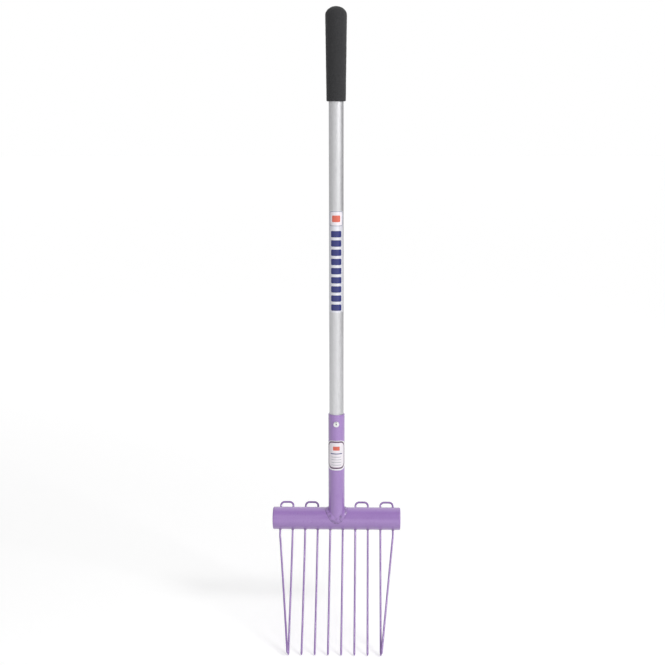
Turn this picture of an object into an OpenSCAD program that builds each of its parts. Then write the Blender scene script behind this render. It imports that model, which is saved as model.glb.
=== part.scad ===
// Lightweight manure fork: a tube shaft riveted into a steel socket, which is welded
// to a round crossbar that carries ten wire tines, bent in pairs as hairpins.
// The shaft stands along Z, the crossbar lies along X, and the tines reach down and
// towards -Y, the side that lifts. The origin is on the shaft axis, under the grip.

/* [Shaft] */
// Outside diameter of the shaft tube
shaft_d = 31; // [28:0.5:35]
// Wall of the shaft tube
shaft_wall = 1.6; // [1.2:0.1:2.4]
// Length of the shaft tube, end to end
shaft_length = 945; // [700:1:1200]
// Depth of the shaft inside the socket
shaft_insert = 100; // [60:1:130]
// Distance of the tool clip below the grip
clip_drop = 60; // [30:1:120]

/* [Grip] */
// Length of the grip, from its lower edge to the top of its dome
grip_length = 191; // [150:1:240]
// Wall of the grip at its lower edge
grip_low_wall = 4.7; // [3:0.1:6]
// Wall of the grip under its dome
grip_top_wall = 6.9; // [3:0.1:8]
// Height of the dome that closes the grip
grip_dome = 18; // [14:0.5:24]
// Thickness of the closed end above the shaft
grip_end = 14; // [8:0.5:20]
// Rounding of the grip's lower edge
grip_edge = 2; // [0.5:0.1:2.8]
// Radial clearance between the grip and the shaft
grip_fit = 0.1; // [0.05:0.05:0.3]

/* [Socket] */
// Height of the socket's rim above the crossbar axis
socket_height = 243; // [180:1:300]
// Wall of the socket tube
socket_wall = 2.4; // [1.4:0.1:3]
// Radial clearance between the socket and the shaft
socket_fit = 0.1; // [0.05:0.05:0.3]
// Clearance between the coped end of the socket and the crossbar
cope_fit = 0.1; // [0.05:0.05:0.4]

/* [Rivet] */
// Distance of the rivet below the socket's rim
rivet_drop = 20; // [15:1:40]
// Diameter of the rivet's flanged head
rivet_head_d = 12.7; // [8:0.1:15]
// Height of the dome on the rivet's head
rivet_dome = 1.5; // [0.8:0.1:2.5]
// Thickness of the flange under the dome
rivet_flange = 0.6; // [0.4:0.1:1.2]
// Diameter of the rivet's shank
rivet_shank_d = 4.8; // [4:0.1:6.4]
// Diameter of the bulb that sets inside the shaft
rivet_bulb_d = 7; // [6.6:0.1:9]
// Length of the bulb
rivet_bulb = 5; // [3:0.1:8]
// Radial clearance round the shank and round the mandrel
rivet_fit = 0.05; // [0.02:0.01:0.15]
// Diameter of the mandrel's stem
mandrel_d = 2.7; // [2:0.1:3.6]
// Diameter of the mandrel's head
mandrel_head_d = 4.4; // [4:0.1:6]
// Length of the mandrel's head
mandrel_head = 2; // [1:0.1:4]
// Depth of the broken stem below the top of the rivet's head
mandrel_recess = 0.9; // [0.4:0.1:1.6]

/* [Crossbar] */
// Outside diameter of the crossbar tube
bar_d = 50; // [44:0.5:58]
// Wall of the crossbar tube
bar_wall = 1.5; // [1.2:0.1:3]
// Distance from the outermost tines to the ends of the crossbar
bar_overhang = 16.5; // [13:0.5:40]
// Distance of the socket's front behind the crossbar's front
bar_step = 0.3; // [0.2:0.1:4]
// Rounding of each end cap's outer edge
cap_edge = 2.5; // [0.5:0.1:4]
// Height of the plain rim under the rounding of each end cap
cap_land = 0.5; // [0.3:0.1:2]
// Depth of each end cap's spigot inside the tube
cap_spigot = 6; // [3:0.5:10]
// Wall of the spigot
cap_wall = 1.2; // [0.8:0.1:2]
// Radial clearance between the spigot and the tube
cap_fit = 0.1; // [0.05:0.05:0.3]

/* [Tines] */
// Diameter of the tine wire
wire_d = 4.5; // [3.2:0.1:5.5]
// Distance between neighbouring tines
tine_pitch = 27.8; // [24:0.1:29]
// Slope of the tines where they leave the crossbar, from straight down
tine_slope = 35; // [25:0.5:45]
// Further slope gained by the curve, down to the tips
tine_curve = 10; // [4:0.5:20]
// Length of a tine along its wire, from the crossbar to its tip
tine_length = 277; // [200:1:330]
// Straight part of a tine below the crossbar
tine_neck = 12; // [8:0.5:20]
// Length of the ground tip
tip_length = 4; // [2:0.5:8]
// Diameter of the blunt end of the tip
tip_d = 2.8; // [1:0.1:2.8]
// Depth of the step where the grinding of the tip starts
tip_step = 0.1; // [0.05:0.05:0.3]
// Height of a hairpin's loop above the crossbar, along its legs
loop_rise = 14; // [11.5:0.1:18]
// Bend radius of the loop's corners, at the middle of the wire
loop_corner = 8.5; // [6:0.1:9]
// Sideways distance between the tip of an outer tine and its neighbour's tip
outer_tip_gap = 1.5; // [0:0.1:6]
// Height of the tip of an outer tine above its neighbour's tip
outer_tip_lift = 7; // [6:0.5:30]
// Swelling of the wire where an outer tine is bent inwards
bend_swell = 0.05; // [0.05:0.05:0.2]
// Radial clearance of the tines in the crossbar's holes
tine_fit = 0.1; // [0.05:0.05:0.3]

/* [Welds] */
// Width of the socket's weld on the front of the crossbar
weld_leg = 9; // [6:0.1:11]
// Width of the same weld at the back, between the hairpin's legs
weld_back_leg = 4.5; // [3:0.1:5.5]
// Height of the socket's weld on the socket
weld_rise = 5; // [3:0.1:7]
// Swelling of the weld's face
weld_crown = 1.5; // [0.5:0.1:2.5]
// Clearance between the welds and what they join
weld_fit = 0.1; // [0.08:0.01:0.2]
// Width of the small weld round each tine
tack_leg = 1.2; // [0.8:0.1:3]
// Height of the small weld along each tine
tack_rise = 1.8; // [1.5:0.1:6]

/* [Labels] */
// Thickness of the label films
film = 0.15; // [0.1:0.01:0.3]
// Clearance under the label films
film_fit = 0.1; // [0.05:0.05:0.2]
// Height of the socket label
socket_label_h = 67; // [40:1:90]
// Distance of the socket label below the socket's rim
socket_label_drop = 57; // [40:1:80]
// Angle that the socket label wraps round the socket
socket_label_wrap = 186; // [120:1:300]
// Height of the shaft label
shaft_label_h = 216; // [120:1:260]
// Angle that the shaft label wraps round the shaft
shaft_label_wrap = 130; // [90:1:200]

/* [Hidden] */
$fn = 64;
profile_steps = 16;
weld_steps = 64;
weld_face_steps = 4;
weld_foot_steps = 4;
lilac = [0.62, 0.51, 0.73];
bare_aluminium = [0.78, 0.78, 0.80];
dark_foam = [0.18, 0.18, 0.19];
label_white = [0.93, 0.92, 0.94];
label_clear = [0.72, 0.74, 0.80];

// Heights in the part's frame, counted down from the grip
grip_low_z = clip_drop;
grip_top_z = grip_low_z + grip_length;
shaft_top_z = grip_top_z - grip_end;
shaft_low_z = shaft_top_z - shaft_length;
socket_top_z = shaft_low_z + shaft_insert;
bar_z = socket_top_z - socket_height;
rivet_z = socket_top_z - rivet_drop;
socket_label_z = socket_top_z - socket_label_drop - socket_label_h;
shaft_label_z = (socket_top_z + grip_low_z - shaft_label_h) / 2;

// Radii that fit into one another
shaft_r = shaft_d / 2;
shaft_bore_r = shaft_r - shaft_wall;
grip_bore_r = shaft_r + grip_fit;
grip_low_r = grip_bore_r + grip_low_wall;
grip_top_r = grip_bore_r + grip_top_wall;
socket_bore_r = shaft_r + socket_fit;
socket_r = socket_bore_r + socket_wall;
bar_r = bar_d / 2;
bar_bore_r = bar_r - bar_wall;
bar_setback = bar_r - socket_r - bar_step;
spigot_r = bar_bore_r - cap_fit;
wire_r = wire_d / 2;
tine_hole_r = wire_r + tine_fit;

// The rivet, measured outwards from the shaft axis
rivet_head_r = rivet_head_d / 2;
rivet_flange_out = socket_r + rivet_flange;
rivet_top_out = rivet_flange_out + rivet_dome;
rivet_dome_r = (rivet_head_r * rivet_head_r + rivet_dome * rivet_dome) / (2 * rivet_dome);
rivet_bulb_out = shaft_bore_r - rivet_bulb;
rivet_hole_r = rivet_shank_d / 2 + rivet_fit;
mandrel_hole_r = mandrel_d / 2 + rivet_fit;

// The hairpins, measured along their legs from the crossbar axis
tines_per_hairpin = 2;
hairpin_count = 5;
hairpin_step = tines_per_hairpin * tine_pitch;
tine_count = tines_per_hairpin * hairpin_count;
bar_length = (tine_count - 1) * tine_pitch + 2 * bar_overhang;
cap_face = cap_edge + cap_land;
bar_tube_length = bar_length - 2 * cap_face;
loop_top = bar_r + loop_rise - wire_r;
loop_flat = tine_pitch / 2 - loop_corner;
leg_straight = loop_top - loop_corner + bar_r + tine_neck;
curve_length = tine_length - tine_neck - tip_length;
curve_r = curve_length * 180 / PI / tine_curve;
outer_lean = asin((tine_pitch - outer_tip_gap) / (tine_length - tine_neck));
outer_lift = asin(outer_tip_lift / (tine_length - tine_neck));
outer_turn = sqrt(outer_lean * outer_lean + outer_lift * outer_lift);
outer_roll = atan2(outer_lift, outer_lean);

// The saddle where the socket meets the crossbar, and the weld that follows it
cope_reach = 2 * socket_r;
weld_wall_r = socket_r + weld_fit;
weld_foot_r = bar_r + weld_fit;

// Tube or rod along Z between two heights
module rod(radius, low, high) {
    translate([0, 0, low])
        cylinder(h = high - low, r = radius);
}

// Carries children to the middle of the crossbar, with Z turned along it
module along_bar() {
    translate([0, bar_setback, bar_z])
        rotate([0, 90, 0])
            children();
}

// Carries children to the crossbar axis at x, with Z up along the tines' legs
module on_legs(x) {
    translate([x, bar_setback, bar_z])
        rotate([-tine_slope, 0, 0])
            children();
}

// Carries children to the rivet's axis, with Z outwards from the shaft axis
module on_rivet() {
    translate([0, 0, rivet_z])
        rotate([90, 0, 0])
            children();
}

// Thin film wrapped on a tube, centred on the front
module film_wrap(tube_r, low, height, wrap) {
    rotate([0, 0, 270 - wrap / 2])
        rotate_extrude(angle = wrap)
            translate([tube_r + film_fit, low])
                square([film, height]);
}

// Place of tine number i, counted from the left
function tine_x(i) = (i - (tine_count - 1) / 2) * tine_pitch;

// Foam sleeve with a rounded lower edge and a domed, closed top
module grip() {
    bore_top = shaft_top_z - grip_low_z + grip_fit;
    quarter = [for (i = [0:profile_steps]) 90 * i / profile_steps];
    edge_side = [for (a = quarter) [grip_low_r - grip_edge * (1 - sin(a)), grip_edge * (1 - cos(a))]];
    dome_side = [for (a = quarter) [grip_top_r * cos(a), grip_length - grip_dome * (1 - sin(a))]];
    bore_side = [[0, bore_top], [grip_bore_r, bore_top], [grip_bore_r, 0]];
    color(dark_foam)
        translate([0, 0, grip_low_z])
            rotate_extrude()
                polygon(concat(bore_side, edge_side, dome_side));
}

// Drawn tube, drilled at the front for the rivet
module shaft() {
    color(bare_aluminium)
        difference() {
            rod(shaft_r, shaft_low_z, shaft_top_z);
            rod(shaft_bore_r, shaft_low_z - 1, shaft_top_z + 1);
            on_rivet() rod(rivet_hole_r, 0, socket_r + 1);
        }
}

// Film on the front of the shaft
module shaft_label() {
    color(label_clear)
        film_wrap(shaft_r, shaft_label_z, shaft_label_h, shaft_label_wrap);
}

// Tube that takes the shaft, coped over the crossbar
module socket() {
    color(lilac)
        difference() {
            rod(socket_r, bar_z, socket_top_z);
            rod(socket_bore_r, bar_z - 1, socket_top_z + 1);
            along_bar() rod(bar_r + cope_fit, -cope_reach, cope_reach);
            on_rivet() rod(rivet_hole_r, 0, socket_r + 1);
        }
}

// Film wrapped round the front and sides of the socket
module socket_label() {
    color(label_white)
        film_wrap(socket_r, socket_label_z, socket_label_h, socket_label_wrap);
}

// Flanged dome outside the socket, hollow shank through both walls, bulb inside the shaft
module rivet_body() {
    color(bare_aluminium)
        difference() {
            union() {
                difference() {
                    on_rivet() rivet_head();
                    rod(socket_r, rivet_z - rivet_head_d, rivet_z + rivet_head_d);
                }
                on_rivet() rod(rivet_shank_d / 2, rivet_bulb_out, rivet_flange_out);
                intersection() {
                    on_rivet() rod(rivet_bulb_d / 2, rivet_bulb_out, shaft_r);
                    rod(shaft_bore_r, rivet_z - rivet_bulb_d, rivet_z + rivet_bulb_d);
                }
            }
            on_rivet() rod(mandrel_hole_r, 0, rivet_top_out + 1);
        }
}

// Dome on a flange, deep enough to follow the round of the socket
module rivet_head() {
    rod(rivet_head_r, socket_bore_r, rivet_flange_out);
    intersection() {
        translate([0, 0, rivet_top_out - rivet_dome_r])
            sphere(r = rivet_dome_r);
        rod(rivet_head_r, rivet_flange_out, rivet_top_out + 1);
    }
}

// Broken stem in the rivet's bore, with its head drawn up against the bulb
module rivet_mandrel() {
    color(bare_aluminium)
        on_rivet() {
            rod(mandrel_d / 2, rivet_bulb_out, rivet_top_out - mandrel_recess);
            rod(mandrel_head_d / 2, rivet_bulb_out - mandrel_head, rivet_bulb_out);
        }
}

// Tube drilled right through for each tine
module crossbar() {
    color(lilac)
        difference() {
            along_bar() rod(bar_r, -bar_tube_length / 2, bar_tube_length / 2);
            along_bar() rod(bar_bore_r, -bar_length, bar_length);
            for (i = [0:tine_count - 1])
                on_legs(tine_x(i)) rod(tine_hole_r, -bar_d, bar_d);
        }
}

// Pressed cap: a face with a rounded edge, and a spigot that enters the tube
module bar_cap() {
    rotate_extrude() {
        translate([spigot_r - cap_wall, -cap_spigot])
            square([cap_wall, cap_spigot]);
        square([bar_r - cap_edge, cap_face]);
        square([bar_r, cap_land]);
        intersection() {
            translate([bar_r - cap_edge, cap_land])
                circle(r = cap_edge);
            square([bar_r, cap_face]);
        }
    }
}

// Cap in the left end of the crossbar
module bar_end_left() {
    color(lilac)
        mirror([1, 0, 0])
            along_bar() translate([0, 0, bar_tube_length / 2]) bar_cap();
}

// Cap in the right end of the crossbar
module bar_end_right() {
    color(lilac)
        along_bar() translate([0, 0, bar_tube_length / 2]) bar_cap();
}

// Angle round the crossbar, from its top to the front, where the socket's wall meets it at
// angle a round the socket, counted from the front
function saddle_turn(a) = asin((bar_setback + socket_r * cos(a)) / bar_r);

// Point on the crossbar under the weld's foot
function foot_point(x, turn) =
    [x, bar_setback - weld_foot_r * sin(turn), bar_z + weld_foot_r * cos(turn)];

// Section of the weld at angle a: down its face from the socket, then back along its foot
function weld_section(a) =
    let (
        turn = saddle_turn(a),
        away = [sin(a) / cos(turn), cos(a)],
        leg = weld_back_leg + (weld_leg - weld_back_leg) * (1 + cos(a)) / 2,
        foot_x = leg * away.x / norm(away),
        foot_turn = leg * away.y / norm(away) * 180 / PI / bar_r,
        wall = [weld_wall_r * sin(a), -weld_wall_r * cos(a)],
        top = [wall.x, wall.y, bar_z + bar_r * cos(turn) + weld_rise],
        toe = foot_point(wall.x + foot_x, turn + foot_turn),
        outwards = [sin(a), -cos(a) - sin(turn), cos(turn)],
        crown = (top + toe) / 2 + 2 * weld_crown * outwards / norm(outwards)
    )
    concat(
        [for (i = [0:weld_face_steps])
            let (t = i / weld_face_steps)
            (1 - t) * (1 - t) * top + 2 * t * (1 - t) * crown + t * t * toe],
        [for (i = [weld_foot_steps - 1:-1:0])
            let (t = i / weld_foot_steps)
            foot_point(wall.x + t * foot_x, turn + t * foot_turn)]
    );

// Bead round the socket, along the saddle where it meets the crossbar
module socket_weld() {
    sections = [for (i = [0:weld_steps - 1]) weld_section(360 * i / weld_steps)];
    sides = len(sections[0]);
    color(lilac)
        polyhedron(
            points = [for (section = sections) for (p = section) p],
            faces = [for (i = [0:weld_steps - 1]) for (j = [0:sides - 1])
                let (
                    here = i * sides,
                    next = (i + 1) % weld_steps * sides,
                    k = (j + 1) % sides
                )
                each [[here + j, next + j, next + k], [here + j, next + k, here + k]]]
        );
}

// Small fillet round each tine where it leaves the crossbar
module tine_welds() {
    color(lilac)
        difference() {
            for (i = [0:tine_count - 1])
                on_legs(tine_x(i)) tine_weld();
            along_bar() rod(bar_r + weld_fit, -bar_length, bar_length);
        }
}

// Cone round one tine, hollow for the wire
module tine_weld() {
    difference() {
        translate([0, 0, -bar_r - tack_rise])
            cylinder(h = 2 * tack_rise, r1 = wire_r + tack_leg / 4, r2 = wire_r + 2 * tack_leg);
        rod(tine_hole_r, -bar_d, bar_d);
    }
}

// Straight wire along Z
module straight_wire(length) {
    cylinder(h = length, r = wire_r);
}

// Wire that starts along Z and turns towards X
module bent_wire(radius, angle) {
    translate([radius, 0, 0])
        rotate([90, 0, 180])
            rotate_extrude(angle = angle)
                translate([radius, 0])
                    circle(r = wire_r);
}

// Carries children to the end of a bend
module after_bend(radius, angle) {
    translate([radius * (1 - cos(angle)), 0, radius * sin(angle)])
        rotate([0, angle, 0])
            children();
}

// Curved tine that starts along Z and turns towards -Y, with its ground tip
module tine() {
    rotate([0, 0, -90]) {
        bent_wire(curve_r, tine_curve);
        after_bend(curve_r, tine_curve)
            translate([0, 0, -wire_r])
                cylinder(h = wire_r + tip_length, r1 = wire_r - tip_step, r2 = tip_d / 2);
    }
}

// Lower part of an outer leg: it turns in towards its neighbour and up
module outer_tine() {
    sphere(r = wire_r + bend_swell);
    rotate([0, 0, -outer_roll])
        rotate([0, outer_turn, 0])
            rotate([0, 0, outer_roll])
                tine();
}

// Half a hairpin, from the middle of its loop through the crossbar to its right-hand tip
module half_hairpin(outer) {
    translate([0, 0, loop_top])
        rotate([0, 90, 0]) {
            straight_wire(loop_flat);
            translate([0, 0, loop_flat]) {
                bent_wire(loop_corner, 90);
                after_bend(loop_corner, 90) {
                    straight_wire(leg_straight);
                    translate([0, 0, leg_straight]) {
                        if (outer) outer_tine();
                        else tine();
                    }
                }
            }
        }
}

// Whole hairpin number i, counted from the middle one
module hairpin(i) {
    last = floor(hairpin_count / 2);
    color(lilac)
        on_legs(i * hairpin_step) {
            half_hairpin(i == last);
            mirror([1, 0, 0]) half_hairpin(i == -last);
        }
}

// The five hairpins, from left to right
module hairpin_left_outer() { hairpin(-2); }
module hairpin_left_inner() { hairpin(-1); }
module hairpin_centre() { hairpin(0); }
module hairpin_right_inner() { hairpin(1); }
module hairpin_right_outer() { hairpin(2); }

grip();
shaft();
shaft_label();
socket();
socket_label();
rivet_body();
rivet_mandrel();
crossbar();
bar_end_left();
bar_end_right();
socket_weld();
tine_welds();
hairpin_left_outer();
hairpin_left_inner();
hairpin_centre();
hairpin_right_inner();
hairpin_right_outer();
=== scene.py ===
# Manure fork: the finish of every piece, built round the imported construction
import math

import bmesh
import bpy
from mathutils import Matrix, Vector, noise


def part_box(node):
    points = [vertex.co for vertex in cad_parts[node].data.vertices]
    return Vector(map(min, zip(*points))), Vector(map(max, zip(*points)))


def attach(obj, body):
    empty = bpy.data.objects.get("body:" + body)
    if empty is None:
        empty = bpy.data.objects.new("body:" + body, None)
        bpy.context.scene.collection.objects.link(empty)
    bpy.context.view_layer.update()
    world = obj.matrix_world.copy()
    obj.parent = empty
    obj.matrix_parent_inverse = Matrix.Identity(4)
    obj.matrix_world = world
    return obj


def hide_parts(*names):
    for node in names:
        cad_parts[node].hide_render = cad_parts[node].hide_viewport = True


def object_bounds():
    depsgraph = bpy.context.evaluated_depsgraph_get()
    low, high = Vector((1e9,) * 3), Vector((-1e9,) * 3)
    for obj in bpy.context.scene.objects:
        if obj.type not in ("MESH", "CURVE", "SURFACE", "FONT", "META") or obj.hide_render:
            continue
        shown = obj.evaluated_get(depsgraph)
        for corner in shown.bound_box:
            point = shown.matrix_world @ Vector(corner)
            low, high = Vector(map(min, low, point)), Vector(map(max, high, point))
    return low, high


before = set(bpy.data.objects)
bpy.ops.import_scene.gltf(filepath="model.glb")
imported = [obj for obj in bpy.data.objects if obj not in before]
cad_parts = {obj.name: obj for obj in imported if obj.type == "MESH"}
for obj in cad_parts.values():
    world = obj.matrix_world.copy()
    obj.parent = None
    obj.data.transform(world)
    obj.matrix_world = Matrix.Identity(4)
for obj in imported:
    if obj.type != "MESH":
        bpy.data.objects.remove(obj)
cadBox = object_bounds()
print("frame:", len(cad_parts), "nodes")


# Small tools for meshes

def reach(node, first, second, centre):
    # largest distance of a node's points from a line through centre, in the plane of two axes
    points = [v.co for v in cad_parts[node].data.vertices]
    return max(math.hypot(p[first] - centre[first], p[second] - centre[second]) for p in points)


def arc(centreX, centreY, radius, startDeg, endDeg, steps):
    angles = [math.radians(startDeg + (endDeg - startDeg) * i / steps) for i in range(steps + 1)]
    return [(centreX + radius * math.cos(a), centreY + radius * math.sin(a)) for a in angles]


def loft(name, sections, ring=True):
    # closed loops of points joined one to the next; an open row of loops gets flat ends
    mesh = bmesh.new()
    rows = [[mesh.verts.new(p) for p in section] for section in sections]
    count = len(rows[0])
    last = len(rows) if ring else len(rows) - 1
    for i in range(last):
        here, there = rows[i], rows[(i + 1) % len(rows)]
        for j in range(count):
            k = (j + 1) % count
            mesh.faces.new((here[j], there[j], there[k], here[k]))
    if not ring:
        mesh.faces.new(rows[0])
        mesh.faces.new(rows[-1])
    bmesh.ops.remove_doubles(mesh, verts=mesh.verts, dist=1e-7)
    bmesh.ops.recalc_face_normals(mesh, faces=mesh.faces)
    data = bpy.data.meshes.new(name)
    mesh.to_mesh(data)
    mesh.free()
    return data


def lathe(name, profile, segments, place):
    # profile is a closed loop of (radius, height) pairs; place carries the Z axis to where it lies
    turns = [Matrix.Rotation(math.tau * i / segments, 4, "Z") for i in range(segments)]
    return loft(name, [[place @ turn @ Vector((r, 0, h)) for r, h in profile] for turn in turns])


def shade(data, angleDeg):
    # smooth faces with sharp edges where the surface turns by more than the angle
    data.polygons.foreach_set("use_smooth", [True] * len(data.polygons))
    mesh = bmesh.new()
    mesh.from_mesh(data)
    for edge in mesh.edges:
        edge.smooth = len(edge.link_faces) == 2 and edge.calc_face_angle(0) < math.radians(angleDeg)
    mesh.to_mesh(data)
    mesh.free()


def finishPiece(name, data, material, nodes, sharpDeg=35):
    piece = bpy.data.objects.new(name, data)
    bpy.context.scene.collection.objects.link(piece)
    shade(data, sharpDeg)
    data.materials.clear()
    data.materials.append(material)
    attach(piece, "root")
    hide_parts(*nodes)
    print("piece:", name, len(data.polygons), "faces")
    return piece


# Small tools for node trees

def addNode(tree, kind, **settings):
    made = tree.nodes.new(kind)
    for key, value in settings.items():
        setattr(made, key, value)
    return made


def feed(tree, node, **values):
    # sets a socket to a value or links another socket to it
    # spaces in a socket's name are written as _, and in0, in1 and so on go by the socket's place
    for key, value in values.items():
        numbered = key.startswith("in") and key[2:].isdigit()
        socket = node.inputs[int(key[2:]) if numbered else key.replace("_", " ")]
        if isinstance(value, bpy.types.NodeSocket):
            tree.links.new(value, socket)
        else:
            socket.default_value = value
    return node


def math2(tree, operation, a, b=0.0):
    node = addNode(tree, "ShaderNodeMath", operation=operation)
    feed(tree, node, in0=a, in1=b)
    return node.outputs[0]


def newMaterial(name):
    material = bpy.data.materials.new(name)
    material.use_nodes = True
    tree = material.node_tree
    shader = tree.nodes["Principled BSDF"]
    place = addNode(tree, "ShaderNodeTexCoord").outputs["Object"]
    return material, tree, shader, place


def cloud(tree, place, scale, detail=2.0, stretch=(1, 1, 1)):
    # noise on the object's own coordinates, in cycles per metre
    mapping = feed(tree, addNode(tree, "ShaderNodeMapping"), Vector=place, Scale=stretch)
    texture = addNode(tree, "ShaderNodeTexNoise")
    feed(tree, texture, Vector=mapping.outputs[0], Scale=scale, Detail=detail)
    return texture.outputs["Fac"]


def spread(tree, value, low, high, fromLow=0.3, fromHigh=0.7):
    # stretches the usual range of a noise, or a range that is given, over low to high
    node = addNode(tree, "ShaderNodeMapRange")
    feed(tree, node, Value=value, From_Min=fromLow, From_Max=fromHigh, To_Min=low, To_Max=high)
    return node.outputs["Result"]


def blendColour(tree, factor, first, second):
    node = addNode(tree, "ShaderNodeMix", data_type="RGBA")
    feed(tree, node, in0=factor, in6=first, in7=second)
    return node.outputs[2]


def relief(tree, shader, layers):
    # bump layers, each a height socket with its depth in metres
    normal = None
    for height, depth in layers:
        bump = addNode(tree, "ShaderNodeBump")
        feed(tree, bump, Height=height, Strength=1.0, Distance=depth)
        if normal:
            tree.links.new(normal, bump.inputs["Normal"])
        normal = bump.outputs[0]
    tree.links.new(normal, shader.inputs["Normal"])


# Lilac paint: glossy powder coat with a fine orange peel, darkened towards a dark lilac by a per-point value
# that carries painted shade and soot

lilacFinish = {
    "light": (0.362, 0.207, 0.535, 1),
    "deep": (0.323, 0.180, 0.493, 1),
    # the dark lilac that painted shade and soot darken the paint towards
    "shadeAndSootTone": (0.13, 0.075, 0.20, 1),
    "driftPerMetre": 26,
    "peelPerMetre": 520,
    "peelDepth": 0.000018,
    "dustPerMetre": 2600,
    "dustDepth": 0.000004,
    "dustShare": 0.2,
    "roughness": (0.26, 0.36),
    "specular": 0.5,
    "coatRoughness": 0.06,
    "coatIor": 1.55,
}


def lilacPaint():
    material, tree, shader, place = newMaterial("lilacPaint")
    drift = cloud(tree, place, lilacFinish["driftPerMetre"], 3)
    peel = cloud(tree, place, lilacFinish["peelPerMetre"], 1)
    dust = cloud(tree, place, lilacFinish["dustPerMetre"], 0)
    share = lilacFinish["dustShare"]
    tint = math2(tree, "ADD", spread(tree, drift, 0, 1 - share), spread(tree, dust, 0, share))
    colour = blendColour(tree, tint, lilacFinish["deep"], lilacFinish["light"])
    # painted shade and soot: a per-point value blends the paint towards the dark lilac
    crease = addNode(tree, "ShaderNodeAttribute", attribute_name="crease").outputs["Fac"]
    feed(tree, shader, Base_Color=blendColour(tree, crease, colour, lilacFinish["shadeAndSootTone"]))
    feed(tree, shader, Roughness=spread(tree, peel, *lilacFinish["roughness"]))
    feed(tree, shader, Specular_IOR_Level=lilacFinish["specular"], Coat_Weight=1.0)
    feed(tree, shader, Coat_Roughness=lilacFinish["coatRoughness"], Coat_IOR=lilacFinish["coatIor"])
    relief(tree, shader, [(peel, lilacFinish["peelDepth"]), (dust, lilacFinish["dustDepth"])])
    return material


# Shaft metal: satin aluminium with fine lengthwise drawing lines

shaftFinish = {
    "bright": (0.765, 0.765, 0.780, 1),
    "dull": (0.665, 0.665, 0.678, 1),
    "linesPerMetre": 1500,
    "lineStretch": (1, 1, 0.012),
    "lineDepth": 0.000012,
    "mottlePerMetre": 160,
    "mottleDepth": 0.00002,
    "mottleShare": 0.5,
    "roughness": (0.50, 0.60),
}


def shaftMetal():
    material, tree, shader, place = newMaterial("shaftMetal")
    lines = cloud(tree, place, shaftFinish["linesPerMetre"], 2, shaftFinish["lineStretch"])
    mottle = cloud(tree, place, shaftFinish["mottlePerMetre"], 4)
    share = shaftFinish["mottleShare"]
    tone = math2(tree, "ADD", spread(tree, lines, 0, 1 - share), spread(tree, mottle, 0, share))
    colour = blendColour(tree, tone, shaftFinish["dull"], shaftFinish["bright"])
    feed(tree, shader, Base_Color=colour, Metallic=1.0)
    feed(tree, shader, Roughness=spread(tree, mottle, *shaftFinish["roughness"]))
    relief(tree, shader, [(lines, shaftFinish["lineDepth"]), (mottle, shaftFinish["mottleDepth"])])
    return material


# Grip foam: matte black, with open pores under a thin uneven skin

foamFinish = {
    "dark": (0.020, 0.020, 0.0215, 1),
    "pale": (0.047, 0.047, 0.0495, 1),
    "poresPerMetre": 900,
    "poreSmoothness": 0.4,
    "poreRange": (0.1, 0.7),
    "poreShare": 0.6,
    "poreDepth": 0.00035,
    "skinPerMetre": 380,
    "skinShare": 0.4,
    "skinDepth": 0.0003,
    "roughness": 0.92,
    "specular": 0.3,
    "sheen": 0.12,
    "sheenRoughness": 0.5,
}


def gripFoam():
    material, tree, shader, place = newMaterial("gripFoam")
    pores = addNode(tree, "ShaderNodeTexVoronoi", feature="SMOOTH_F1")
    feed(tree, pores, Vector=place, Scale=foamFinish["poresPerMetre"])
    feed(tree, pores, Smoothness=foamFinish["poreSmoothness"])
    fromPore = pores.outputs["Distance"]
    skin = cloud(tree, place, foamFinish["skinPerMetre"], 3)
    pits = spread(tree, fromPore, foamFinish["poreShare"], 0, *foamFinish["poreRange"])
    tone = math2(tree, "ADD", pits, spread(tree, skin, 0, foamFinish["skinShare"]))
    feed(tree, shader, Base_Color=blendColour(tree, tone, foamFinish["dark"], foamFinish["pale"]))
    feed(tree, shader, Roughness=foamFinish["roughness"], Specular_IOR_Level=foamFinish["specular"])
    feed(tree, shader, Sheen_Weight=foamFinish["sheen"], Sheen_Roughness=foamFinish["sheenRoughness"])
    relief(tree, shader, [(fromPore, foamFinish["poreDepth"]), (skin, foamFinish["skinDepth"])])
    return material


# Rivet metals: a bright scuffed body and the dark torn steel of its mandrel

rivetFinish = {
    "dark": (0.78, 0.78, 0.79, 1),
    "pale": (0.90, 0.90, 0.91, 1),
    "metallic": 1.0,
    "wearPerMetre": 900,
    "wearDepth": 0.00003,
    "roughness": (0.26, 0.40),
}
mandrelFinish = {
    "dark": (0.10, 0.10, 0.105, 1),
    "pale": (0.24, 0.235, 0.23, 1),
    "metallic": 0.9,
    "wearPerMetre": 2400,
    "wearDepth": 0.00008,
    "roughness": (0.45, 0.65),
}


def wornMetal(name, finish):
    # one noise carries the tone, the gloss and the relief
    material, tree, shader, place = newMaterial(name)
    wear = cloud(tree, place, finish["wearPerMetre"], 3)
    tone = blendColour(tree, spread(tree, wear, 0, 1), finish["dark"], finish["pale"])
    feed(tree, shader, Base_Color=tone, Metallic=finish["metallic"])
    feed(tree, shader, Roughness=spread(tree, wear, *finish["roughness"]))
    relief(tree, shader, [(wear, finish["wearDepth"])])
    return material


# Printed films: plain bars and frames placed in metres on the film's own sheet

filmFinish = {
    "fibrePerMetre": 700,
    "fibreDepth": 0.000015,
    "inkDepth": 0.00002,
    "unevenGloss": 0.04,
    "coat": 0.4,
    "coatRoughness": 0.08,
}


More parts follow.
